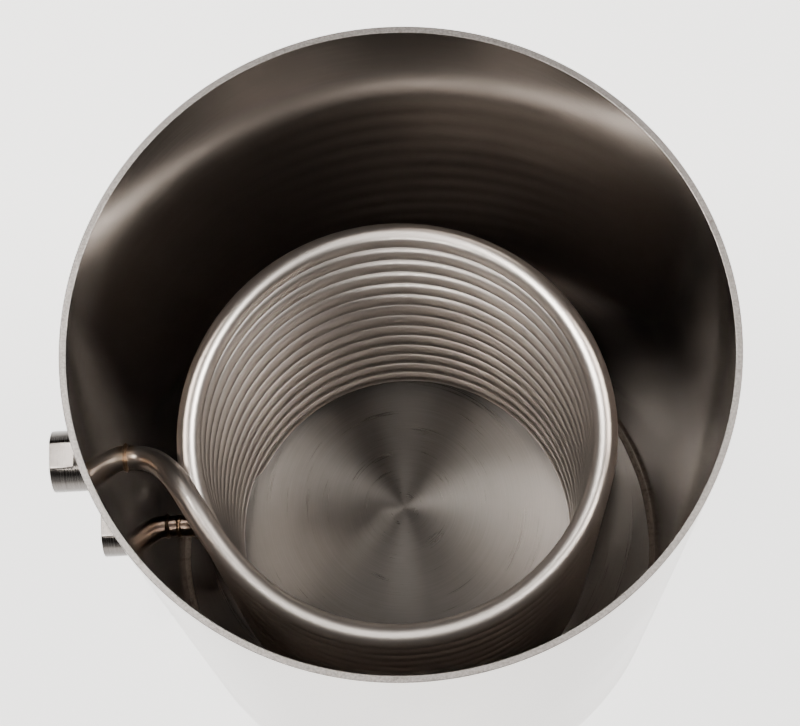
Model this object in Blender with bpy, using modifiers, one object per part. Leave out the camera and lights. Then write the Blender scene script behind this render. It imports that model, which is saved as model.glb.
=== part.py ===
"""Open cylindrical vessel with a helical cooling coil welded into it.

Blender 4.5, metres, +Z up. The origin is the centre of the vessel's underside.
Both ports lie on the -X side, one above the other, on the vessel's radius.
"""

import math

import bmesh
import bpy
from mathutils import Matrix, Vector

MM = 0.001

# Vessel: rolled stainless body with a flat disc floor.
BODY_RADIUS = 152.4 * MM
BODY_WALL = 3.2 * MM
BODY_HEIGHT = 450.0 * MM
FLOOR_THICKNESS = 3.2 * MM
FLOOR_WELD_LEG = 3.5 * MM

# Coil: half-inch tube, wound right down the vessel.
TUBE_RADIUS = 6.35 * MM
TUBE_WALL = 1.24 * MM
COIL_RADIUS = 107.5 * MM
COIL_PITCH = 20.0 * MM
COIL_FULL_TURNS = 13
COIL_START_ANGLE = math.radians(224.6)
COIL_END_ANGLE = math.radians(148.0)
COIL_FLOOR_GAP = 14.2 * MM
COIL_TO_PORT_SHIFT = 6.5 * MM

# Ports, measured from the two ends of the coil.
UPPER_PORT_DROP = 35.2 * MM
LOWER_PORT_RISE = 68.0 * MM

# Couplings on the outside of the body.
COUPLING_RADIUS = 16.25 * MM
COUPLING_LENGTH = 35.0 * MM
COUPLING_BORE_RADIUS = 9.3 * MM
COUPLING_CHAMFER = 1.6 * MM
FLAT_ACROSS = 29.1 * MM
FLAT_LENGTH = 12.5 * MM
COUPLING_WELD_LEG = 4.0 * MM

# Tube ends at the wall.
WALL_WELD_LEG = 1.4 * MM
LEAD_STRAIGHT = 2.0 * MM
ELBOW_RADIUS = 12.7 * MM
ELBOW_TO_COIL_GAP = 2.6 * MM
BUTT_GAP = 0.6 * MM
BUTT_WELD_WIDTH = 3.0 * MM
BUTT_WELD_HEIGHT = 0.7 * MM

# Upper lead: one smooth curve that climbs early, to pass over the second turn.
# The two middle control points are measured from the tube's place in the wall.
LEAD_PORT_HANDLE = 25.7 * MM
LEAD_COIL_HANDLE = 50.9 * MM
LEAD_LOW_CONTROL = Vector((17.9, -26.9, 34.5)) * MM
LEAD_HIGH_CONTROL = Vector((35.6, -4.4, 42.6)) * MM

# Lower tail: lengths of the curve handles, and the place it passes beside the coil.
TAIL_COIL_HANDLE = 52.0 * MM
TAIL_TURN_HANDLE = 44.0 * MM
TAIL_LEG_HANDLE = 52.0 * MM
TAIL_TURN_ANGLE = math.radians(169.0)
TAIL_TURN_RISE = 5.0 * MM

GAP = 0.3 * MM
BODY_SIDES = 96
SMALL_SIDES = 32
COIL_SIDES_PER_TURN = 20
LEAD_STEPS = 16

# Derived sizes.
BODY_INNER_RADIUS = BODY_RADIUS - BODY_WALL
COIL_SWEEP = COIL_FULL_TURNS * math.tau + (COIL_END_ANGLE - COIL_START_ANGLE) % math.tau
COIL_DROP = COIL_PITCH * COIL_SWEEP / math.tau
COIL_END_HEIGHT = FLOOR_THICKNESS + COIL_FLOOR_GAP + TUBE_RADIUS
COIL_START_HEIGHT = COIL_END_HEIGHT + COIL_DROP
UPPER_PORT_HEIGHT = COIL_START_HEIGHT - UPPER_PORT_DROP
LOWER_PORT_HEIGHT = COIL_END_HEIGHT + LOWER_PORT_RISE
COIL_AXIS = Vector((-COIL_TO_PORT_SHIFT, 0.0, 0.0))
LEG_RADIUS = COIL_RADIUS + 2.0 * TUBE_RADIUS + ELBOW_TO_COIL_GAP
LEG_X = COIL_AXIS.x - LEG_RADIUS
TUBE_END_X = -BODY_RADIUS


def clear_scene():
    for old in list(bpy.data.objects):
        bpy.data.objects.remove(old, do_unlink=True)


def new_collection(name):
    collection = bpy.data.collections.new(name)
    bpy.context.scene.collection.children.link(collection)
    return collection


def material(name, colour, roughness, metallic=1.0):
    made = bpy.data.materials.new(name)
    made.use_nodes = True
    shader = made.node_tree.nodes["Principled BSDF"]
    shader.inputs["Base Color"].default_value = (*colour, 1.0)
    shader.inputs["Roughness"].default_value = roughness
    shader.inputs["Metallic"].default_value = metallic
    return made


def body_steel():
    return material("body_steel", (0.42, 0.39, 0.37), 0.32)


def floor_steel():
    return material("floor_steel", (0.46, 0.43, 0.41), 0.38)


def tube_steel():
    return material("tube_steel", (0.62, 0.58, 0.55), 0.25)


def coupling_steel():
    return material("coupling_steel", (0.60, 0.58, 0.56), 0.3)


def weld_steel():
    return material("weld_steel", (0.36, 0.26, 0.20), 0.45)


def add_mesh_object(name, bm, collection, surface=None):
    mesh = bpy.data.meshes.new(name)
    bm.to_mesh(mesh)
    bm.free()
    made = bpy.data.objects.new(name, mesh)
    collection.objects.link(made)
    if surface:
        mesh.materials.append(surface)
        mesh.shade_smooth()
        mesh.set_sharp_from_angle(angle=math.radians(35))
    return made


def make_cutter(made):
    made.hide_render = True
    made.display_type = "WIRE"
    return made


def cylinder(name, radius, depth, sides, collection, surface=None):
    """Solid cylinder on Z, centred on its own origin."""
    bm = bmesh.new()
    bmesh.ops.create_cone(
        bm, cap_ends=True, segments=sides, radius1=radius, radius2=radius, depth=depth
    )
    return add_mesh_object(name, bm, collection, surface)


def box(name, size, collection):
    bm = bmesh.new()
    bmesh.ops.create_cube(bm, size=1.0, matrix=Matrix.Diagonal((*size, 1.0)))
    return add_mesh_object(name, bm, collection)


def turned(name, profile, sides, collection, surface):
    """Closed ring or solid turned about Z from (radius, height) points."""
    bm = bmesh.new()
    corners = [bm.verts.new((radius, 0.0, height)) for radius, height in profile]
    for index, corner in enumerate(corners):
        bm.edges.new((corner, corners[(index + 1) % len(corners)]))
    made = add_mesh_object(name, bm, collection, surface)
    screw = made.modifiers.new("turn", "SCREW")
    screw.axis = "Z"
    screw.angle = math.tau
    screw.steps = sides
    screw.render_steps = sides
    screw.use_merge_vertices = True
    screw.merge_threshold = 0.00001
    screw.use_smooth_shade = True
    return made


def cut(target, cutter, operation="DIFFERENCE"):
    boolean = target.modifiers.new(cutter.name, "BOOLEAN")
    boolean.operation = operation
    boolean.object = cutter
    boolean.solver = "EXACT"


def point_outwards(made, x, z):
    """Turn a piece built on +Z so that it runs along -X at the given height."""
    made.location = (x, 0.0, z)
    made.rotation_euler = (0.0, -math.pi / 2.0, 0.0)


def build_shell(parts, cutters):
    """Rolled body, cut square at both ends, with a hole for each tube."""
    profile = [
        (BODY_RADIUS, BODY_HEIGHT),
        (BODY_RADIUS, 0.0),
        (BODY_INNER_RADIUS, 0.0),
        (BODY_INNER_RADIUS, BODY_HEIGHT),
    ]
    shell = turned("vessel_shell", profile, BODY_SIDES, parts, body_steel())
    for label, height in (("upper", UPPER_PORT_HEIGHT), ("lower", LOWER_PORT_HEIGHT)):
        drill = cylinder(
            f"{label}_wall_hole", TUBE_RADIUS + 1.5 * GAP, 4.0 * BODY_WALL, SMALL_SIDES, cutters
        )
        point_outwards(make_cutter(drill), -BODY_RADIUS, height)
        cut(shell, drill)
    return shell


def build_floor(parts):
    """Flat disc set inside the body, flush with its lower edge."""
    disc = cylinder(
        "vessel_floor", BODY_INNER_RADIUS - GAP, FLOOR_THICKNESS, BODY_SIDES, parts, floor_steel()
    )
    disc.location.z = FLOOR_THICKNESS / 2.0
    return disc


def build_floor_weld(parts):
    """Fillet bead in the inside corner between body and floor, slightly hollow."""
    outer = BODY_INNER_RADIUS - 1.2 * GAP
    base = FLOOR_THICKNESS + GAP
    hollow = 0.36 * FLOOR_WELD_LEG
    profile = [
        (outer, base + FLOOR_WELD_LEG),
        (outer, base),
        (outer - FLOOR_WELD_LEG, base),
        (outer - hollow, base + hollow),
    ]
    return turned("floor_weld", profile, BODY_SIDES, parts, weld_steel())


def hermite(start, start_handle, end, end_handle, steps):
    """Points of a smooth curve between two places, without its first point."""
    points = []
    for step in range(1, steps + 1):
        t = step / steps
        points.append(
            (2 * t**3 - 3 * t**2 + 1) * start
            + (t**3 - 2 * t**2 + t) * start_handle
            + (3 * t**2 - 2 * t**3) * end
            + (t**3 - t**2) * end_handle
        )
    return points


def bezier(controls, steps):
    """Points of a Bezier curve of any degree, without its first point."""
    degree = len(controls) - 1
    points = []
    for step in range(1, steps + 1):
        t = step / steps
        point = Vector((0.0, 0.0, 0.0))
        for index, control in enumerate(controls):
            weight = math.comb(degree, index) * t**index * (1.0 - t) ** (degree - index)
            point += weight * control
        points.append(point)
    return points


def helix_point(angle, height, radius=COIL_RADIUS):
    flat = Vector((math.cos(angle), math.sin(angle), 0.0)) * radius
    return COIL_AXIS + flat + Vector((0.0, 0.0, height))


def helix_direction(angle, slope=-COIL_PITCH / (math.tau * COIL_RADIUS)):
    return Vector((-math.sin(angle), math.cos(angle), slope)).normalized()


def coil_route():
    """Centre line of the whole tube, from the upper port to the lower elbow."""
    inward = Vector((1.0, 0.0, 0.0))
    upward = Vector((0.0, 0.0, 1.0))
    route = [Vector((TUBE_END_X, 0.0, UPPER_PORT_HEIGHT))]
    bend_start = Vector((LEAD_STRAIGHT - BODY_INNER_RADIUS, 0.0, UPPER_PORT_HEIGHT))
    route.append(bend_start)
    coil_start = helix_point(COIL_START_ANGLE, COIL_START_HEIGHT)
    wall_place = Vector((-BODY_INNER_RADIUS, 0.0, UPPER_PORT_HEIGHT))
    controls = [
        bend_start,
        bend_start + inward * LEAD_PORT_HANDLE,
        wall_place + LEAD_LOW_CONTROL,
        wall_place + LEAD_HIGH_CONTROL,
        coil_start - helix_direction(COIL_START_ANGLE) * LEAD_COIL_HANDLE,
        coil_start,
    ]
    route += bezier(controls, LEAD_STEPS)

    steps = round(COIL_SIDES_PER_TURN * COIL_SWEEP / math.tau)
    for step in range(1, steps + 1):
        share = step / steps
        angle = COIL_START_ANGLE + share * COIL_SWEEP
        route.append(helix_point(angle, COIL_START_HEIGHT - share * COIL_DROP))

    coil_end = route[-1]
    turn = helix_point(TAIL_TURN_ANGLE, COIL_END_HEIGHT + TAIL_TURN_RISE, LEG_RADIUS)
    leg_top = Vector((LEG_X, 0.0, LOWER_PORT_HEIGHT - ELBOW_RADIUS - BUTT_GAP))
    end_handle = helix_direction(COIL_END_ANGLE) * TAIL_COIL_HANDLE
    turn_direction = helix_direction(TAIL_TURN_ANGLE, 0.55)
    route += hermite(
        coil_end, end_handle, turn, turn_direction * TAIL_TURN_HANDLE, LEAD_STEPS // 2
    )
    route += hermite(
        turn, turn_direction * TAIL_TURN_HANDLE, leg_top, upward * TAIL_LEG_HANDLE, LEAD_STEPS
    )
    return route


def tube(name, route, parts, surface):
    """Hollow tube along a route: a bevelled curve made into a mesh, then given its wall."""
    curve = bpy.data.curves.new(name, "CURVE")
    curve.dimensions = "3D"
    curve.bevel_depth = TUBE_RADIUS
    curve.bevel_resolution = 2
    curve.use_fill_caps = False
    spline = curve.splines.new("POLY")
    spline.points.add(len(route) - 1)
    for point, place in zip(spline.points, route):
        point.co = (*place, 1.0)
    guide = bpy.data.objects.new(f"{name}_guide", curve)
    parts.objects.link(guide)
    bpy.context.view_layer.update()
    evaluated = guide.evaluated_get(bpy.context.evaluated_depsgraph_get())
    mesh = bpy.data.meshes.new_from_object(evaluated)
    mesh.name = name
    made = bpy.data.objects.new(name, mesh)
    made.matrix_world = guide.matrix_world
    parts.objects.link(made)
    bpy.data.objects.remove(guide, do_unlink=True)
    bpy.data.curves.remove(curve)
    mesh.materials.clear()
    mesh.materials.append(surface)
    mesh.shade_smooth()
    wall = made.modifiers.new("wall", "SOLIDIFY")
    wall.thickness = TUBE_WALL
    wall.offset = -1.0
    return made


def build_coil(parts):
    return tube("cooling_coil", coil_route(), parts, tube_steel())


def build_lower_spigot(parts):
    """Short straight tube that carries the lower end through the wall."""
    inner_end = LEG_X - ELBOW_RADIUS - BUTT_GAP
    route = [
        Vector((TUBE_END_X, 0.0, LOWER_PORT_HEIGHT)),
        Vector((inner_end, 0.0, LOWER_PORT_HEIGHT)),
    ]
    return tube("lower_spigot", route, parts, tube_steel())


def build_lower_elbow(parts):
    """Short-radius elbow from the spigot down into the annular space."""
    centre = Vector((LEG_X - ELBOW_RADIUS, 0.0, LOWER_PORT_HEIGHT - ELBOW_RADIUS))
    route = []
    for step in range(LEAD_STEPS + 1):
        angle = step / LEAD_STEPS * math.pi / 2.0
        offset = Vector((math.sin(angle), 0.0, math.cos(angle))) * ELBOW_RADIUS
        route.append(centre + offset)
    return tube("lower_elbow", route, parts, tube_steel())


def build_coupling(label, height, parts, cutters):
    """Round threaded coupling with two wrench flats at its outer end."""
    start = GAP
    end = COUPLING_LENGTH
    chamfer = COUPLING_CHAMFER
    profile = [
        (COUPLING_RADIUS, end - chamfer / 2.0),
        (COUPLING_RADIUS, start),
        (COUPLING_BORE_RADIUS, start),
        (COUPLING_BORE_RADIUS, end - chamfer),
        (COUPLING_BORE_RADIUS + chamfer, end),
        (COUPLING_RADIUS - chamfer / 2.0, end),
    ]
    coupling = turned(f"{label}_coupling", profile, SMALL_SIDES, parts, coupling_steel())
    point_outwards(coupling, -BODY_RADIUS, height)
    flat_depth = COUPLING_RADIUS
    outer_end = -(BODY_RADIUS + COUPLING_LENGTH)
    for side, sign in (("top", 1.0), ("bottom", -1.0)):
        size = (2.0 * FLAT_LENGTH, 4.0 * COUPLING_RADIUS, flat_depth)
        slab = box(f"{label}_{side}_flat", size, cutters)
        drop = FLAT_ACROSS / 2.0 + flat_depth / 2.0
        make_cutter(slab).location = (outer_end, 0.0, height + sign * drop)
        cut(coupling, slab)
    return coupling


def build_coupling_weld(label, height, parts, body_cutter):
    """Fillet bead round the coupling, lying on the body's outside."""
    inner = COUPLING_RADIUS + GAP
    leg = COUPLING_WELD_LEG
    profile = [
        (inner, GAP + leg),
        (inner, -leg),
        (inner + leg, -leg),
        (inner + leg, GAP + 0.15 * leg),
        (inner + 0.42 * leg, GAP + 0.42 * leg),
    ]
    profile.reverse()
    weld = turned(f"{label}_coupling_weld", profile, SMALL_SIDES, parts, weld_steel())
    point_outwards(weld, -BODY_RADIUS, height)
    cut(weld, body_cutter)
    return weld


def build_wall_weld(label, height, parts, room_cutter):
    """Bead round the tube where it meets the inside of the wall."""
    inner = TUBE_RADIUS + GAP
    leg = WALL_WELD_LEG
    profile = [
        (inner, -leg),
        (inner + 0.6 * leg, -0.75 * leg),
        (inner + leg, -0.2 * leg),
        (inner + leg, leg),
        (inner, leg),
    ]
    weld = turned(f"{label}_wall_weld", profile, SMALL_SIDES, parts, weld_steel())
    point_outwards(weld, -BODY_INNER_RADIUS, height)
    cut(weld, room_cutter, "INTERSECT")
    return weld


def butt_weld(name, parts):
    """Low rounded bead round a tube joint, on Z, centred on its own origin."""
    inner = TUBE_RADIUS + GAP
    half = BUTT_WELD_WIDTH / 2.0
    crown = inner + BUTT_WELD_HEIGHT
    profile = [
        (inner, half),
        (crown - 0.2 * BUTT_WELD_HEIGHT, 0.5 * half),
        (crown, 0.0),
        (crown - 0.2 * BUTT_WELD_HEIGHT, -0.5 * half),
        (inner, -half),
    ]
    return turned(name, profile, SMALL_SIDES, parts, weld_steel())


def build_spigot_weld(parts):
    """Bead on the joint between the spigot and the elbow."""
    joint = LEG_X - ELBOW_RADIUS - BUTT_GAP / 2.0
    point_outwards(butt_weld("spigot_weld", parts), joint, LOWER_PORT_HEIGHT)


def build_elbow_weld(parts):
    """Bead on the joint between the elbow and the coil's rising tail."""
    joint = LOWER_PORT_HEIGHT - ELBOW_RADIUS - BUTT_GAP / 2.0
    butt_weld("elbow_weld", parts).location = (LEG_X, 0.0, joint)


def build():
    clear_scene()
    parts = new_collection("vessel_with_cooling_coil")
    cutters = new_collection("cutters")
    tall = BODY_HEIGHT * 2.0
    body = cylinder("body_volume", BODY_RADIUS + GAP, tall, BODY_SIDES, cutters)
    room = cylinder("room_volume", BODY_INNER_RADIUS - 1.2 * GAP, tall, BODY_SIDES, cutters)
    make_cutter(body)
    make_cutter(room)

    build_shell(parts, cutters)
    build_floor(parts)
    build_floor_weld(parts)
    build_coil(parts)
    build_lower_spigot(parts)
    build_lower_elbow(parts)
    build_spigot_weld(parts)
    build_elbow_weld(parts)
    for label, height in (("upper", UPPER_PORT_HEIGHT), ("lower", LOWER_PORT_HEIGHT)):
        build_coupling(label, height, parts, cutters)
        build_coupling_weld(label, height, parts, body)
        build_wall_weld(label, height, parts, room)


build()
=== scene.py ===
"""Looks for the open stainless vessel with its built-in cooling coil."""

import math

import bmesh
import bpy
from mathutils import Matrix, Vector


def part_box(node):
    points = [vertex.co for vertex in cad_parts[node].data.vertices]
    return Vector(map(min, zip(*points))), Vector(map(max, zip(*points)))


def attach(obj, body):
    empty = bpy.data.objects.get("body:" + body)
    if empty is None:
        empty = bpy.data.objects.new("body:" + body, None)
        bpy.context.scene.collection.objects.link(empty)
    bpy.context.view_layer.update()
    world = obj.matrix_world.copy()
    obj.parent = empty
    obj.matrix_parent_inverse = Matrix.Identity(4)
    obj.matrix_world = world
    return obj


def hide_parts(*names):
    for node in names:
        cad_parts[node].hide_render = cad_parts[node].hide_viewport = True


MM = 0.001
Z = Vector((0.0, 0.0, 1.0))

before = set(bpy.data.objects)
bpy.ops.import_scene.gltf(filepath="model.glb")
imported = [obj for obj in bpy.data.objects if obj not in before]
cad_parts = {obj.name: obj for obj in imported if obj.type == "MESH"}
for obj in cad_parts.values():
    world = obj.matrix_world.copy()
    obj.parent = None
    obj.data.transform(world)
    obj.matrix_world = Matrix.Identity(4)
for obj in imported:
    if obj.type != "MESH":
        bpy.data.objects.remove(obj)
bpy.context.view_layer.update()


# ---------------------------------------------------------------- sizes
shell_low, shell_high = (Vector(corner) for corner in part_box("vessel_shell"))
BODY_RADIUS = shell_high.y
BODY_HEIGHT = shell_high.z
BODY_WALL = 3.2 * MM
INNER_RADIUS = BODY_RADIUS - BODY_WALL
FLOOR_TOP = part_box("vessel_floor")[1][2]
WALL_SIDES = 256
BRUSH_CENTRE = Vector((-8.0, 24.0, 0.0)) * MM

TUBE_RADIUS = 6.35 * MM
TUBE_BORE = 5.1 * MM
TUBE_SIDES = 40
COIL_RADIUS = 107.5 * MM
COIL_PITCH = 20.0 * MM
COIL_FULL_TURNS = 13
COIL_POINTS_PER_TURN = 84
COIL_FLOOR_GAP = 14.2 * MM
COIL_AXIS = Vector((-6.5 * MM, 0.0, 0.0))
COIL_START = math.radians(224.6)
COIL_END = math.radians(148.0)
COIL_SWEEP = COIL_FULL_TURNS * math.tau + (COIL_END - COIL_START) % math.tau
COIL_BOTTOM = FLOOR_TOP + COIL_FLOOR_GAP + TUBE_RADIUS
COIL_TOP = COIL_BOTTOM + COIL_PITCH * COIL_SWEEP / math.tau

LEAD_STRAIGHT = 2.0 * MM
LEAD_PORT_HANDLE = 25.7 * MM
LEAD_COIL_HANDLE = 50.9 * MM
LEAD_LOW_CONTROL = Vector((17.9, -26.9, 34.5)) * MM
LEAD_HIGH_CONTROL = Vector((35.6, -4.4, 42.6)) * MM
TAIL_TURN_ANGLE = math.radians(169.0)
TAIL_TURN_RISE = 5.0 * MM
TAIL_TURN_SLOPE = 0.55
TAIL_TURN_HANDLE = 44.0 * MM
TAIL_END_HANDLE = 52.0 * MM
ELBOW_RADIUS = 12.7 * MM
ELBOW_TO_COIL_GAP = 2.6 * MM
LEG_RADIUS = COIL_RADIUS + 2.0 * TUBE_RADIUS + ELBOW_TO_COIL_GAP
LEG_X = COIL_AXIS.x - LEG_RADIUS
BUTT_GAP = 0.6 * MM

COUPLING_RADIUS = 16.25 * MM
COUPLING_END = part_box("upper_coupling")[0][0]
COUPLING_SIDES = 96
END_FACE_RADIUS = 10.9 * MM
FLAT_HALF = 14.55 * MM
FLAT_LENGTH = 12.5 * MM
THREAD_PITCH = 1.814 * MM
THREAD_CREST = 9.3 * MM
THREAD_DEPTH = 1.15 * MM
THREAD_LENGTH = 19.0 * MM
CLEARANCE = 0.3 * MM
OVERLAP = 0.05 * MM
PORT_HEIGHTS = {
    label: sum(corner[2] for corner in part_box(f"{label}_coupling")) / 2.0
    for label in ("upper", "lower")
}

CAMERA_PLACE = Vector((13.0, -288.7, 1405.2)) * MM
CAMERA_TARGET = Vector((-0.27, -10.37, 450.0)) * MM
CAMERA_ROLL = -0.1006
CAMERA_LENS = 100.85


# ---------------------------------------------------------------- camera
def add_camera():
    """Long lens, about a metre from the rim, looking steeply down into the mouth."""
    forward = (CAMERA_TARGET - CAMERA_PLACE).normalized()
    right = forward.cross(Z).normalized()
    up = right.cross(forward)
    rolled_right = math.cos(CAMERA_ROLL) * right + math.sin(CAMERA_ROLL) * up
    rolled_up = math.cos(CAMERA_ROLL) * up - math.sin(CAMERA_ROLL) * right
    turn = Matrix((rolled_right, rolled_up, -forward)).transposed().to_4x4()
    data = bpy.data.cameras.new("camera")
    data.sensor_width = 36.0
    data.sensor_fit = "HORIZONTAL"
    data.lens = CAMERA_LENS
    data.clip_start = 0.01
    data.clip_end = 50.0
    camera = bpy.data.objects.new("camera", data)
    camera.matrix_world = Matrix.Translation(CAMERA_PLACE) @ turn
    bpy.context.scene.collection.objects.link(camera)
    bpy.context.scene.camera = camera


# ---------------------------------------------------------------- node helpers
class Nodes:
    """Short names for building one material's node tree."""

    def __init__(self, name):
        self.material = bpy.data.materials.new(name)
        self.material.use_nodes = True
        self.tree = self.material.node_tree
        self.tree.nodes.clear()
        self.output = self.tree.nodes.new("ShaderNodeOutputMaterial")

    def add(self, kind, **settings):
        node = self.tree.nodes.new(kind)
        for key, value in settings.items():
            setattr(node, key, value)
        return node

    def join(self, source, target):
        self.tree.links.new(source, target)

    def feed(self, socket, value):
        if isinstance(value, bpy.types.NodeSocket):
            self.join(value, socket)
        else:
            socket.default_value = value

    def math(self, operation, first, second=0.0, third=0.0):
        node = self.add("ShaderNodeMath", operation=operation)
        for socket, value in zip(node.inputs, (first, second, third)):
            self.feed(socket, value)
        return node.outputs[0]

    def vector(self, operation, first, second=(0.0, 0.0, 0.0)):
        node = self.add("ShaderNodeVectorMath", operation=operation)
        self.feed(node.inputs[0], first)
        self.feed(node.inputs[1], second)
        return node.outputs["Value" if operation in ("LENGTH", "DISTANCE") else "Vector"]

    def place(self):
        return self.add("ShaderNodeTexCoord").outputs["Object"]

    def split(self, vector):
        node = self.add("ShaderNodeSeparateXYZ")
        self.join(vector, node.inputs[0])
        return node.outputs

    def pack(self, x, y, z):
        node = self.add("ShaderNodeCombineXYZ")
        for socket, value in zip(node.inputs, (x, y, z)):
            self.feed(socket, value)
        return node.outputs[0]

    def stretched(self, parts, factors):
        """Vector of the three parts, each times its own factor."""
        sized = []
        for part, factor in zip(parts, factors):
            sized.append(part if factor == 1.0 else self.math("MULTIPLY", part, factor))
        return self.pack(*sized)

    def noise(self, where, scale=1.0, detail=3.0, roughness=0.6):
        node = self.add("ShaderNodeTexNoise")
        self.join(where, node.inputs["Vector"])
        node.inputs["Scale"].default_value = scale
        node.inputs["Detail"].default_value = detail
        node.inputs["Roughness"].default_value = roughness
        return node.outputs[0]

    def ramp(self, factor, *stops):
        """Smooth ramp through (position, colour or grey) stops."""
        node = self.add("ShaderNodeValToRGB")
        self.join(factor, node.inputs[0])
        points = node.color_ramp.elements
        while len(points) < len(stops):
            points.new(0.5)
        for point, (position, colour) in zip(points, stops):
            point.position = position
            value = (colour,) * 3 if isinstance(colour, float) else colour
            point.color = (*value, 1.0)
        return node.outputs[0]

    def mix(self, factor, first, second, blend="MIX"):
        node = self.add("ShaderNodeMix", data_type="RGBA", blend_type=blend)
        self.feed(node.inputs[0], factor)
        for socket, value in ((node.inputs[6], first), (node.inputs[7], second)):
            if isinstance(value, tuple) and len(value) == 3:
                value = (*value, 1.0)
            self.feed(socket, value)
        return node.outputs[2]

    def remap(self, value, low, high, to_low, to_high):
        node = self.add("ShaderNodeMapRange")
        for socket, item in zip(node.inputs, (value, low, high, to_low, to_high)):
            self.feed(socket, item)
        return node.outputs[0]

    def bump(self, height, strength, distance, normal=None):
        node = self.add("ShaderNodeBump")
        node.inputs["Strength"].default_value = strength
        node.inputs["Distance"].default_value = distance
        self.join(height, node.inputs["Height"])
        if normal:
            self.join(normal, node.inputs["Normal"])
        return node.outputs[0]

    def metal(self, colour, roughness, normal=None, stretch=0.0, across=None):
        """Finish the material as metal; highlights stretch along the vector across."""
        shader = self.add("ShaderNodeBsdfPrincipled")
        shader.inputs["Metallic"].default_value = 1.0
        if isinstance(colour, tuple):
            colour = (*colour, 1.0)
        self.feed(shader.inputs["Base Color"], colour)
        self.feed(shader.inputs["Roughness"], roughness)
        if normal:
            self.join(normal, shader.inputs["Normal"])
        if across:
            shader.inputs["Anisotropic"].default_value = stretch
            self.join(across, shader.inputs["Tangent"])
        self.join(shader.outputs[0], self.output.inputs[0])
        return self.material


# ---------------------------------------------------------------- materials
def wall_material():
    """Glossy sheet brushed round the vessel, with faint long scratches and smears."""
    n = Nodes("wall_steel")
    where = n.place()
    parts = n.split(where)
    fine = n.noise(n.stretched(parts, (1.0, 1.0, 110.0)), 22.0, 4.0, 0.72)
    coarse_lines = n.noise(n.stretched(parts, (1.0, 1.0, 24.0)), 11.0, 3.0, 0.6)
    smears = n.noise(where, 11.0, 3.0, 0.55)
    waves = n.noise(n.stretched(parts, (1.0, 1.0, 0.8)), 8.0, 1.0, 0.4)
    tone = n.mix(n.remap(fine, 0.3, 0.7, 0.0, 1.0), (0.27, 0.245, 0.225), (0.38, 0.345, 0.32))
    tone = n.mix(n.remap(smears, 0.35, 0.7, 0.0, 0.45), tone, (0.30, 0.27, 0.245))
    rough = n.math("ADD", n.remap(fine, 0.3, 0.7, 0.07, 0.11), n.remap(smears, 0.3, 0.7, -0.01, 0.03))
    normal = n.bump(waves, 0.15, 0.0006)
    normal = n.bump(coarse_lines, 0.05, 0.00003, normal)
    normal = n.bump(fine, 0.12, 0.00001, normal)
    return n.metal(tone, rough, normal, 0.6, n.pack(0.0, 0.0, 1.0))


def rim_material():
    """Cut edge, sanded along the rim, with small nicks."""
    n = Nodes("rim_steel")
    where = n.place()
    x, y, _ = n.split(where)
    flat = n.pack(x, y, 0.0)
    radius = n.vector("LENGTH", flat)
    east, north, _ = n.split(n.vector("NORMALIZE", flat))
    scratch = n.noise(n.stretched((east, north, radius), (12.0, 12.0, 2600.0)))
    cross = n.noise(where, 900.0, 4.0, 0.7)
    nick = n.noise(where, 330.0, 2.0)
    tone = n.mix(n.remap(cross, 0.35, 0.7, 0.0, 1.0), (0.17, 0.158, 0.15), (0.33, 0.313, 0.30))
    tone = n.mix(n.remap(nick, 0.62, 0.72, 0.0, 0.6), tone, (0.14, 0.125, 0.115))
    rough = n.remap(scratch, 0.3, 0.7, 0.34, 0.55)
    height = n.math("ADD", n.math("MULTIPLY", cross, 0.6), n.math("MULTIPLY", nick, -0.8))
    return n.metal(tone, rough, n.bump(height, 0.5, 0.00012))


def floor_material():
    """Disc brushed in circles about a point off the vessel's axis, with painted shade in a ring outside
    the coil.
    """
    n = Nodes("floor_steel")
    where = n.place()
    x, y, _ = n.split(n.vector("SUBTRACT", where, tuple(BRUSH_CENTRE)))
    flat = n.pack(x, y, 0.0)
    radius = n.vector("LENGTH", flat)
    outward = n.vector("NORMALIZE", flat)
    east, north, _ = n.split(outward)
    parts = (radius, east, north)
    rings = n.noise(n.stretched(parts, (1800.0, 1.0, 1.0)), 1.0, 4.0, 0.7)
    bands = n.noise(n.stretched(parts, (150.0, 1.0, 1.0)), 1.0, 3.0, 0.6)
    stains = n.noise(where, 24.0, 4.0, 0.6)
    tone = n.mix(n.remap(rings, 0.3, 0.7, 0.0, 1.0), (0.25, 0.232, 0.218), (0.30, 0.279, 0.263))
    tone = n.mix(n.remap(stains, 0.45, 0.75, 0.0, 0.35), tone, (0.20, 0.182, 0.167))
    # Painted shade: the floor between the coil and the wall is darkened to stand in for the shadow
    # there, which also darkens what the wall mirrors.
    from_axis = n.vector("DISTANCE", where, tuple(COIL_AXIS))
    painted_shade_ring = n.remap(from_axis, 106.0 * MM, 119.0 * MM, 0.0, 0.45)
    tone = n.mix(painted_shade_ring, tone, (0.06, 0.05, 0.043))
    rough = n.math("ADD", n.remap(bands, 0.3, 0.7, 0.27, 0.32), n.remap(rings, 0.3, 0.7, -0.02, 0.03))
    normal = n.bump(bands, 0.02, 0.00003)
    normal = n.bump(rings, 0.02, 0.00001, normal)
    return n.metal(tone, rough, normal, 0.85, outward)


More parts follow.
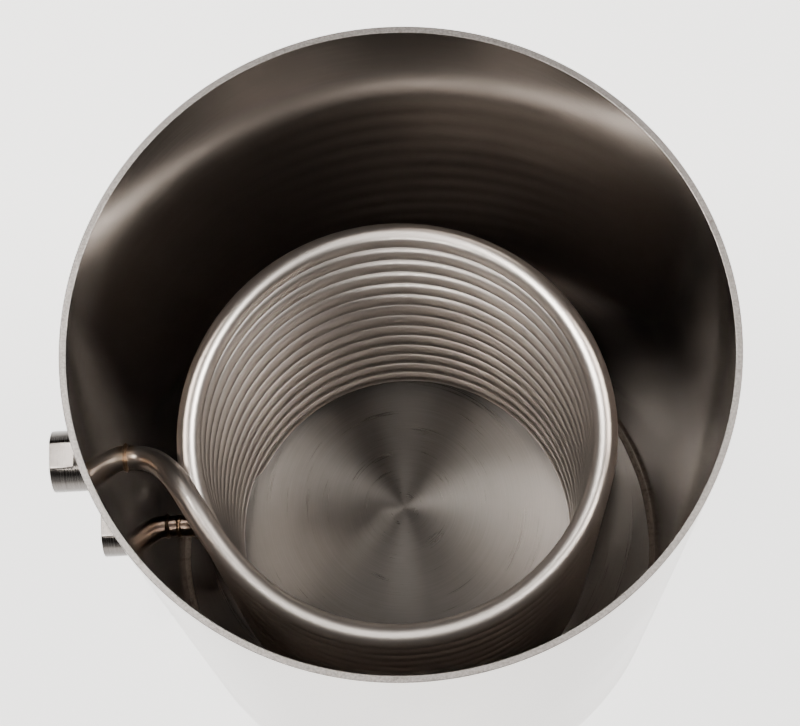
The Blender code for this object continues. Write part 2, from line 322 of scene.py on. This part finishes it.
def tube_material(name, tinted=()):
    """Satin drawn tube; heat tint fades away from each (place, reach) given."""
    n = Nodes(name)
    where = n.place()
    route = n.add("ShaderNodeAttribute", attribute_name="route").outputs["Vector"]
    lines = n.noise(n.stretched(n.split(route), (14.0, 22.0, 22.0)), 1.0, 4.0, 0.7)
    grain = n.noise(where, 1400.0, 3.0, 0.6)
    patches = n.noise(where, 60.0, 3.0, 0.6)
    tone = n.mix(n.remap(lines, 0.3, 0.7, 0.0, 1.0), (0.655, 0.61, 0.575), (0.69, 0.645, 0.61))
    tone = n.mix(n.remap(patches, 0.45, 0.75, 0.0, 0.2), tone, (0.60, 0.55, 0.51))
    for place, reach in tinted:
        away = n.vector("DISTANCE", where, tuple(place))
        away = n.math("ADD", away, n.remap(patches, 0.3, 0.7, -0.25 * reach, 0.25 * reach))
        heat = n.ramp(
            n.remap(away, 0.0, reach, 0.0, 1.0),
            (0.0, (0.24, 0.17, 0.13)),
            (0.5, (0.30, 0.21, 0.16)),
            (0.68, (0.52, 0.38, 0.26)),
            (0.85, (0.64, 0.52, 0.40)),
            (1.0, (0.66, 0.60, 0.54)),
        )
        tone = n.mix(n.remap(away, 0.75 * reach, 1.1 * reach, 0.85, 0.0), tone, heat)
    rough = n.math("ADD", n.remap(lines, 0.3, 0.7, 0.31, 0.36), n.remap(grain, 0.3, 0.7, -0.01, 0.02))
    return n.metal(tone, rough, n.bump(grain, 0.02, 0.00001))


def coupling_material():
    """Turned bar: fine tool rings on the round and end faces."""
    n = Nodes("coupling_steel")
    where = n.place()
    tool = n.noise(n.stretched(n.split(where), (3200.0, 30.0, 30.0)), 1.0, 3.0)
    cloud = n.noise(where, 130.0, 3.0, 0.6)
    tone = n.mix(n.remap(tool, 0.3, 0.7, 0.0, 1.0), (0.10, 0.09, 0.085), (0.17, 0.16, 0.15))
    tone = n.mix(n.remap(cloud, 0.5, 0.75, 0.0, 0.4), tone, (0.08, 0.07, 0.06))
    rough = n.remap(tool, 0.3, 0.7, 0.2, 0.3)
    return n.metal(tone, rough, n.bump(tool, 0.3, 0.00004), 0.5, n.pack(1.0, 0.0, 0.0))


def weld_material(name, dark, light):
    """As-welded bead with a mottled oxide film."""
    n = Nodes(name)
    where = n.place()
    film = n.noise(where, 240.0, 4.0, 0.65)
    grain = n.noise(where, 1800.0, 3.0, 0.6)
    worn = tuple(0.8 * part for part in light)
    tone = n.ramp(n.remap(film, 0.3, 0.7, 0.0, 1.0), (0.0, dark), (0.55, light), (1.0, worn))
    rough = n.remap(grain, 0.3, 0.7, 0.26, 0.42)
    return n.metal(tone, rough, n.bump(grain, 0.3, 0.00005))


# ---------------------------------------------------------------- mesh helpers
def new_piece(name, bm, surface, sharp=40.0):
    bmesh.ops.recalc_face_normals(bm, faces=bm.faces)
    mesh = bpy.data.meshes.new(name)
    bm.to_mesh(mesh)
    bm.free()
    mesh.materials.append(surface)
    mesh.shade_smooth()
    if sharp:
        mesh.set_sharp_from_angle(angle=math.radians(sharp))
    piece = bpy.data.objects.new(name, mesh)
    bpy.context.scene.collection.objects.link(piece)
    return piece


def skin(bm, rings, closed=False):
    """Quads between neighbouring rings of points; one-point rings close an end."""
    made = [[bm.verts.new(point) for point in ring] for ring in rings]
    pairs = list(zip(made, made[1:]))
    if closed:
        pairs.append((made[-1], made[0]))
    for first, second in pairs:
        count = max(len(first), len(second))
        for index in range(count):
            corners = [
                first[index % len(first)],
                first[(index + 1) % len(first)],
                second[(index + 1) % len(second)],
                second[index % len(second)],
            ]
            corners = list(dict.fromkeys(corners))
            bm.faces.new(corners)
    return made


def settle(piece, node):
    """Hang the piece on the root body and hide the CAD node it stands for."""
    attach(piece, "root")
    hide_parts(node)


def add_bead(name, node, sections, surface):
    """Closed weld bead through sections that run round its seam."""
    bm = bmesh.new()
    made = [[bm.verts.new(point) for point in section] for section in sections]
    size = len(sections[0])
    for first, second in zip(made, made[1:] + made[:1]):
        for row in range(size):
            after = (row + 1) % size
            bm.faces.new((first[row], first[after], second[after], second[row]))
    settle(new_piece(name, bm, surface, 60.0), node)


def sweep_frames(route):
    """Side and lift directions carried along a route without twisting."""
    frames = []
    side = None
    for index, point in enumerate(route):
        ahead = route[min(index + 1, len(route) - 1)] - route[max(index - 1, 0)]
        ahead.normalize()
        if side is None:
            side = ahead.cross(Z)
        side = (side - side.dot(ahead) * ahead).normalized()
        frames.append((side.copy(), side.cross(ahead)))
    return frames


def hollow_tube(name, route, surface, open_depth=(0, 0)):
    """Round tube along a route; its bore is open for a few points at each end."""
    frames = sweep_frames(route)
    lengths = [0.0]
    for first, second in zip(route, route[1:]):
        lengths.append(lengths[-1] + (second - first).length)
    last = len(route) - 1
    start_in, end_in = open_depth
    lip = TUBE_RADIUS - 0.25 * MM
    stops = []
    if start_in:
        stops.append((start_in, 0.0))
        stops += [(index, TUBE_BORE) for index in range(start_in, -1, -1)]
        stops.append((0, lip))
    else:
        stops.append((0, 0.0))
    stops += [(index, TUBE_RADIUS) for index in range(last + 1)]
    if end_in:
        stops.append((last, lip))
        stops += [(index, TUBE_BORE) for index in range(last, last - end_in - 1, -1)]
        stops.append((last - end_in, 0.0))
    else:
        stops.append((last, 0.0))
    bm = bmesh.new()
    layer = bm.verts.layers.float_vector.new("route")
    rings = []
    marks = []
    for index, radius in stops:
        side, lift = frames[index]
        count = TUBE_SIDES if radius else 1
        ring = []
        mark = []
        for step in range(count):
            angle = math.tau * step / TUBE_SIDES
            swing = math.cos(angle) * side + math.sin(angle) * lift
            ring.append(route[index] + radius * swing)
            mark.append(Vector((lengths[index], math.cos(angle), math.sin(angle))))
        rings.append(ring)
        marks.append(mark)
    made = skin(bm, rings)
    for ring, mark in zip(made, marks):
        for vertex, value in zip(ring, mark):
            vertex[layer] = value
    return new_piece(name, bm, surface, 50.0)


def hermite(start, start_handle, end, end_handle, steps):
    points = []
    for step in range(1, steps + 1):
        t = step / steps
        points.append(
            (2 * t**3 - 3 * t**2 + 1) * start
            + (t**3 - 2 * t**2 + t) * start_handle
            + (3 * t**2 - 2 * t**3) * end
            + (t**3 - t**2) * end_handle
        )
    return points


def bezier(controls, steps):
    degree = len(controls) - 1
    points = []
    for step in range(1, steps + 1):
        t = step / steps
        point = Vector((0.0, 0.0, 0.0))
        for index, control in enumerate(controls):
            weight = math.comb(degree, index) * t**index * (1.0 - t) ** (degree - index)
            point += weight * control
        points.append(point)
    return points


def helix_point(angle, height, radius=COIL_RADIUS):
    flat = Vector((math.cos(angle), math.sin(angle), 0.0)) * radius
    return COIL_AXIS + flat + height * Z


def helix_direction(angle, slope=-COIL_PITCH / (math.tau * COIL_RADIUS)):
    return Vector((-math.sin(angle), math.cos(angle), slope)).normalized()


def coil_route():
    """The CAD coil's centre line, with finer steps."""
    height = PORT_HEIGHTS["upper"]
    start = Vector((-BODY_RADIUS, 0.0, height))
    bend = Vector((LEAD_STRAIGHT - INNER_RADIUS, 0.0, height))
    route = [start.lerp(bend, step / 8.0) for step in range(9)]
    coil_start = helix_point(COIL_START, COIL_TOP)
    wall_place = Vector((-INNER_RADIUS, 0.0, height))
    controls = [
        bend,
        bend + Vector((LEAD_PORT_HANDLE, 0.0, 0.0)),
        wall_place + LEAD_LOW_CONTROL,
        wall_place + LEAD_HIGH_CONTROL,
        coil_start - helix_direction(COIL_START) * LEAD_COIL_HANDLE,
        coil_start,
    ]
    route += bezier(controls, 60)
    steps = round(COIL_POINTS_PER_TURN * COIL_SWEEP / math.tau)
    for step in range(1, steps + 1):
        share = step / steps
        angle = COIL_START + share * COIL_SWEEP
        route.append(helix_point(angle, COIL_TOP - share * (COIL_TOP - COIL_BOTTOM)))
    coil_end = route[-1]
    turn = helix_point(TAIL_TURN_ANGLE, COIL_BOTTOM + TAIL_TURN_RISE, LEG_RADIUS)
    heading = helix_direction(TAIL_TURN_ANGLE, TAIL_TURN_SLOPE) * TAIL_TURN_HANDLE
    leg_top = Vector((LEG_X, 0.0, PORT_HEIGHTS["lower"] - ELBOW_RADIUS - BUTT_GAP))
    route += hermite(coil_end, helix_direction(COIL_END) * TAIL_END_HANDLE, turn, heading, 20)
    route += hermite(turn, heading, leg_top, TAIL_END_HANDLE * Z, 36)
    return route


# ---------------------------------------------------------------- pieces
def drill_hole(piece, height, surface):
    """Cut a round hole for a tube through the wall at one port."""
    bm = bmesh.new()
    reach = TUBE_RADIUS + CLEARANCE
    bmesh.ops.create_cone(
        bm,
        cap_ends=True,
        segments=48,
        radius1=reach,
        radius2=reach,
        depth=14.0 * MM,
        matrix=Matrix.Translation((-BODY_RADIUS, 0.0, height)) @ Matrix.Rotation(math.pi / 2.0, 4, "Y"),
    )
    drill = new_piece("drill", bm, surface)
    boolean = piece.modifiers.new("hole", "BOOLEAN")
    boolean.operation = "DIFFERENCE"
    boolean.solver = "EXACT"
    boolean.object = drill
    bpy.context.view_layer.update()
    evaluated = piece.evaluated_get(bpy.context.evaluated_depsgraph_get())
    cut = bpy.data.meshes.new_from_object(evaluated)
    piece.modifiers.clear()
    piece.data = cut
    bpy.data.objects.remove(drill, do_unlink=True)


def shade_wall(mesh, wall, rim):
    """Wall finish and true round normals on the two cylinders; rim finish elsewhere."""
    mesh.materials.clear()
    mesh.materials.append(wall)
    mesh.materials.append(rim)
    normals = []
    for face in mesh.polygons:
        middle = face.center
        radius = math.hypot(middle.x, middle.y)
        upright = abs(face.normal.z) < 0.05
        flat_radius = min(abs(radius - BODY_RADIUS), abs(radius - INNER_RADIUS)) < 0.1 * MM
        radial = upright and flat_radius
        face.material_index = 0 if radial else 1
        face.use_smooth = True
        sign = 1.0 if face.normal.dot(Vector((middle.x, middle.y, 0.0))) > 0.0 else -1.0
        for corner in face.loop_indices:
            place = mesh.vertices[mesh.loops[corner].vertex_index].co
            straight = Vector((place.x, place.y, 0.0)).normalized() * sign
            normals.append((corner, straight if radial else face.normal.copy()))
    normals.sort(key=lambda item: item[0])
    mesh.normals_split_custom_set([normal for _, normal in normals])


def build_wall(wall, rim):
    """Fine ring with softened rim edges and the two tube holes cut through."""
    soft = 0.35 * MM
    profile = [
        (BODY_RADIUS - soft, 0.0),
        (BODY_RADIUS, soft),
        (BODY_RADIUS, 0.5 * BODY_HEIGHT),
        (BODY_RADIUS, BODY_HEIGHT - soft),
        (BODY_RADIUS - 0.3 * soft, BODY_HEIGHT - 0.3 * soft),
        (BODY_RADIUS - soft, BODY_HEIGHT),
        (INNER_RADIUS + soft, BODY_HEIGHT),
        (INNER_RADIUS + 0.3 * soft, BODY_HEIGHT - 0.3 * soft),
        (INNER_RADIUS, BODY_HEIGHT - soft),
        (INNER_RADIUS, 0.5 * BODY_HEIGHT),
        (INNER_RADIUS, 0.0),
    ]
    angles = [math.tau * (step + 0.5) / WALL_SIDES for step in range(WALL_SIDES)]
    rings = []
    for radius, height in profile:
        rings.append([Vector((radius * math.cos(a), radius * math.sin(a), height)) for a in angles])
    bm = bmesh.new()
    skin(bm, rings, closed=True)
    piece = new_piece("vessel_wall", bm, wall, None)
    for height in PORT_HEIGHTS.values():
        drill_hole(piece, height, wall)
    shade_wall(piece.data, wall, rim)
    settle(piece, "vessel_shell")


def x_ring(x, radius, height, angles, clamp=None):
    """Ring about the port's own axis; clamp limits its height to make wrench flats."""
    ring = []
    for angle in angles:
        lift = radius * math.sin(angle)
        if clamp:
            lift = max(-clamp, min(clamp, lift))
        ring.append(Vector((x, radius * math.cos(angle), height + lift)))
    return ring


def thread_rings(height, angles):
    """Rings down the bore whose radius follows the thread, flared at the mouth."""
    steps_per_turn = 8
    start = 1.2 * MM
    flare_depth = 2.4 * MM
    flare_width = 1.0 * MM
    steps = round(THREAD_LENGTH / THREAD_PITCH * steps_per_turn)
    rings = []
    for step in range(steps + 1):
        travel = start + (THREAD_LENGTH - start) * step / steps
        fade = min(1.0, (THREAD_LENGTH - travel) / (2.0 * THREAD_PITCH))
        flare = max(0.0, 1.0 - travel / flare_depth) * flare_width
        ring = []
        for angle in angles:
            phase = (travel / THREAD_PITCH + angle / math.tau) % 1.0
            groove = 1.0 - abs(2.0 * phase - 1.0)
            groove = min(1.0, max(0.0, 1.25 * groove - 0.12))
            radius = THREAD_CREST + max(THREAD_DEPTH * groove * fade, flare)
            across = radius * math.cos(angle)
            lift = radius * math.sin(angle)
            ring.append(Vector((COUPLING_END + travel, across, height + lift)))
        rings.append(ring)
    return rings


def build_coupling(label, height, surface):
    """Turned coupling with wrench flats and a cut internal thread."""
    edge = math.asin(FLAT_HALF / COUPLING_RADIUS)
    angles = [math.tau * step / COUPLING_SIDES for step in range(COUPLING_SIDES)]
    for mark in (edge, math.pi - edge, math.pi + edge, math.tau - edge):
        near = min(range(COUPLING_SIDES), key=lambda index: abs(angles[index] - mark))
        angles[near] = mark
    end = COUPLING_END
    flat_start = end + FLAT_LENGTH
    base = -(BODY_RADIUS + CLEARANCE)
    soft = 0.8 * MM
    outer = [
        (base, COUPLING_RADIUS, None),
        (flat_start + 0.3 * MM, COUPLING_RADIUS, None),
        (flat_start, COUPLING_RADIUS, FLAT_HALF),
        (end + soft, COUPLING_RADIUS, FLAT_HALF),
        (end + 0.3 * soft, COUPLING_RADIUS - 0.3 * soft, FLAT_HALF - 0.1 * soft),
        (end, COUPLING_RADIUS - soft, FLAT_HALF - 0.5 * soft),
        (end, END_FACE_RADIUS, None),
    ]
    rings = [x_ring(x, radius, height, angles, clamp) for x, radius, clamp in outer]
    rings += thread_rings(height, angles)
    rings.append(x_ring(base, THREAD_CREST, height, angles))
    bm = bmesh.new()
    skin(bm, rings, closed=True)
    piece = new_piece(f"{label}_coupling_turned", bm, surface, 32.0)
    settle(piece, f"{label}_coupling")


def ripple(angle, count, amount, skew=0.35):
    """Height of the small overlapping scales along a weld."""
    phase = (angle * count / math.tau) % 1.0
    return amount * (1.0 - (phase - skew) ** 2 / max(skew, 1.0 - skew) ** 2)


def build_wall_bead(name, node, height, inner, leg, rise, inside, surface):
    """Rippled fillet bead between a round neck and one side of the vessel's wall."""
    wall_radius = INNER_RADIUS if inside else BODY_RADIUS
    direction = 1.0 if inside else -1.0
    count = max(24, round(math.tau * (inner + 0.5 * leg) / (1.5 * MM)))
    steps = count * 6
    rows = 9
    sections = []
    for step in range(steps):
        angle = math.tau * step / steps
        wobble = 0.12 * math.sin(3.0 * angle + 0.6) + 0.08 * math.sin(7.0 * angle)
        section = []
        for row in range(rows):
            share = row / (rows - 1)
            out = inner + leg * (1.0 + 0.6 * wobble) * share
            across = out * math.cos(angle)
            up = out * math.sin(angle)
            wall = -math.sqrt(wall_radius**2 - across**2)
            arch = (1.0 - share) ** 1.2 * (1.0 + wobble)
            crown = math.sin(math.pi * share)
            scale = ripple(angle + 0.12 * share, count, 0.16 * MM) * crown
            lift = rise * arch + 0.28 * rise * crown + scale
            section.append(Vector((wall + direction * max(lift, 0.02 * MM), across, height + up)))
        base = inner * math.cos(angle)
        hidden = -math.sqrt(wall_radius**2 - base**2) - direction * 0.1 * MM
        section.append(Vector((hidden, base, height + inner * math.sin(angle))))
        sections.append(section)
    add_bead(name, node, sections, surface)


def build_butt_bead(name, node, centre, axis, surface):
    """Rippled band round a tube joint."""
    axis = axis.normalized()
    side = axis.orthogonal().normalized()
    lift = axis.cross(side)
    inner = TUBE_RADIUS - OVERLAP
    half = 1.4 * MM
    count = 30
    steps = count * 6
    rows = 9
    sections = []
    for step in range(steps):
        angle = math.tau * step / steps
        outward = math.cos(angle) * side + math.sin(angle) * lift
        width = half * (1.0 + 0.07 * math.sin(4.0 * angle))
        section = []
        for row in range(rows):
            share = row / (rows - 1) * 2.0 - 1.0
            crown = math.sqrt(max(0.0, 1.0 - share * share))
            bow = 0.5 * (1.0 - share * share) / count * math.tau
            height = 0.5 * MM * crown + ripple(angle + bow, count, 0.12 * MM) * crown
            section.append(centre + axis * share * width + outward * (inner + height))
        section.append(centre + outward * (inner - 0.3 * MM))
        sections.append(section)
    add_bead(name, node, sections, surface)


def build_floor_bead(surface):
    """Rippled bead in the inside corner between wall and floor."""
    count = 460
    steps = count * 3
    rows = 6
    leg = 3.4 * MM
    low = FLOOR_TOP + 0.02 * MM
    outer = INNER_RADIUS - OVERLAP
    sections = []
    for step in range(steps):
        angle = math.tau * step / steps
        wobble = 1.0 + 0.06 * math.sin(9.0 * angle) + 0.04 * math.sin(23.0 * angle)
        section = []
        for row in range(rows):
            share = row / (rows - 1)
            turn = share * math.pi / 2.0
            reach = leg * wobble * 0.62 + ripple(angle, count, 0.12 * MM) * math.sin(2.0 * turn)
            radius = outer - leg * wobble + reach * math.sin(turn) ** 1.3
            height = FLOOR_TOP + leg * wobble - reach * math.cos(turn) ** 1.3
            section.append(Vector((radius * math.cos(angle), radius * math.sin(angle), height)))
        corner = Vector((outer * math.cos(angle), outer * math.sin(angle), low))
        section[0].z = low
        section[-1].x = corner.x
        section[-1].y = corner.y
        section.append(corner)
        sections.append(section)
    add_bead("floor_bead", "floor_weld", sections, surface)


def build_tubes():
    """Coil, spigot and elbow as smooth hollow tubes, tinted near their welds."""
    upper, lower = PORT_HEIGHTS["upper"], PORT_HEIGHTS["lower"]
    spigot_joint = Vector((LEG_X - ELBOW_RADIUS - BUTT_GAP / 2.0, 0.0, lower))
    elbow_joint = Vector((LEG_X, 0.0, lower - ELBOW_RADIUS - BUTT_GAP / 2.0))
    tints = [
        (Vector((-INNER_RADIUS, 0.0, upper)), 9.5 * MM),
        (elbow_joint, 15.0 * MM),
    ]
    satin = tube_material("coil_steel", tints)
    coil = hollow_tube("coil_tube", coil_route(), satin, open_depth=(12, 2))
    settle(coil, "cooling_coil")

    short = tube_material("elbow_steel", [(spigot_joint, 15.0 * MM), (elbow_joint, 12.0 * MM)])
    start = Vector((-BODY_RADIUS, 0.0, lower))
    end = Vector((LEG_X - ELBOW_RADIUS - BUTT_GAP, 0.0, lower))
    route = [start.lerp(end, step / 8.0) for step in range(9)]
    spigot = hollow_tube("spigot_tube", route, short, open_depth=(8, 0))
    settle(spigot, "lower_spigot")

    centre = Vector((LEG_X - ELBOW_RADIUS, 0.0, lower - ELBOW_RADIUS))
    route = []
    for step in range(25):
        angle = step / 24.0 * math.pi / 2.0
        route.append(centre + Vector((math.sin(angle), 0.0, math.cos(angle))) * ELBOW_RADIUS)
    elbow = hollow_tube("elbow_tube", route, short, open_depth=(1, 1))
    settle(elbow, "lower_elbow")

    tinted = weld_material("tinted_weld", (0.13, 0.085, 0.06), (0.40, 0.27, 0.17))
    build_butt_bead("spigot_bead", "spigot_weld", spigot_joint, Vector((1.0, 0.0, 0.0)), tinted)
    build_butt_bead("elbow_bead", "elbow_weld", elbow_joint, Z, tinted)
    for label, height in PORT_HEIGHTS.items():
        build_wall_bead(
            f"{label}_wall_bead",
            f"{label}_wall_weld",
            height,
            inner=TUBE_RADIUS - OVERLAP,
            leg=1.5 * MM,
            rise=1.2 * MM,
            inside=True,
            surface=tinted,
        )


def build_couplings():
    turned = coupling_material()
    bead = weld_material("bright_weld", (0.30, 0.26, 0.23), (0.56, 0.51, 0.46))
    for label, height in PORT_HEIGHTS.items():
        build_coupling(label, height, turned)
        build_wall_bead(
            f"{label}_coupling_bead",
            f"{label}_coupling_weld",
            height,
            inner=COUPLING_RADIUS - OVERLAP,
            leg=4.0 * MM,
            rise=3.6 * MM,
            inside=False,
            surface=bead,
        )
    build_floor_bead(bead)


# ---------------------------------------------------------------- studio
def add_world():
    """Pale round the horizon, dark overhead, so that the open mouth stays deep."""
    world = bpy.data.worlds.new("studio")
    bpy.context.scene.world = world
    world.use_nodes = True
    tree = world.node_tree
    tree.nodes.clear()
    output = tree.nodes.new("ShaderNodeOutputWorld")
    background = tree.nodes.new("ShaderNodeBackground")
    coordinate = tree.nodes.new("ShaderNodeTexCoord")
    split = tree.nodes.new("ShaderNodeSeparateXYZ")
    ramp = tree.nodes.new("ShaderNodeValToRGB")
    tree.links.new(coordinate.outputs["Generated"], split.inputs[0])
    tree.links.new(split.outputs[2], ramp.inputs[0])
    tree.links.new(ramp.outputs[0], background.inputs[0])
    tree.links.new(background.outputs[0], output.inputs[0])
    stops = ramp.color_ramp.elements
    stops[0].position = 0.05
    stops[0].color = (0.80, 0.79, 0.77, 1.0)
    stops[1].position = 0.36
    stops[1].color = (0.03, 0.027, 0.025, 1.0)
    background.inputs[1].default_value = 1.0


def add_floor():
    """Pale table, softly lit from within so that it stays clean round the object."""
    n = Nodes("table")
    shader = n.add("ShaderNodeBsdfPrincipled")
    shader.inputs["Base Color"].default_value = (0.86, 0.86, 0.85, 1.0)
    shader.inputs["Roughness"].default_value = 0.7
    where = n.place()
    away = n.vector("LENGTH", where)
    glow = n.remap(away, 0.45, 1.6, 1.9, 0.5)
    shader.inputs["Emission Color"].default_value = (1.0, 0.995, 0.985, 1.0)
    n.feed(shader.inputs["Emission Strength"], glow)
    n.join(shader.outputs[0], n.output.inputs[0])
    bm = bmesh.new()
    bmesh.ops.create_grid(bm, x_segments=2, y_segments=2, size=6.0)
    floor = new_piece("table", bm, n.material, None)
    floor.location.z = -0.0004


def add_softbox(name, place, target, width, height, power):
    """Slightly warm rectangular area light aimed at the target."""
    data = bpy.data.lights.new(name, "AREA")
    data.shape = "RECTANGLE"
    data.size = width
    data.size_y = height
    data.energy = power
    data.color = (1.0, 0.96, 0.91)
    light = bpy.data.objects.new(name, data)
    aim = Vector(target) - Vector(place)
    light.rotation_mode = "QUATERNION"
    light.rotation_quaternion = aim.to_track_quat("-Z", "Y")
    light.location = place
    bpy.context.scene.collection.objects.link(light)


def add_lights():
    """Soft boxes either side of, behind, before and over the mouth, and one for the ports."""
    mouth = (0.0, 0.0, 0.4)
    add_softbox("top_box", (0.0, 0.66, 2.1), mouth, 0.9, 0.6, 0.6)
    add_softbox("left_box", (-1.0, 0.1, 2.0), mouth, 0.64, 0.7, 40.0)
    add_softbox("right_box", (1.0, 0.1, 2.0), mouth, 0.64, 0.7, 42.0)
    add_softbox("front_box", (-0.5, -1.15, 1.62), mouth, 0.9, 0.1, 9.0)
    add_softbox("key_box", (-0.1, -0.5, 2.1), mouth, 0.4, 0.3, 2.6)
    add_softbox("port_box", (-0.52, 0.5, 2.1), (-0.18, 0.0, 0.28), 0.16, 0.3, 8.0)


add_camera()
add_world()
add_floor()
add_lights()
build_wall(wall_material(), rim_material())
build_tubes()
build_couplings()
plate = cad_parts["vessel_floor"]
plate.data.materials.clear()
plate.data.materials.append(floor_material())
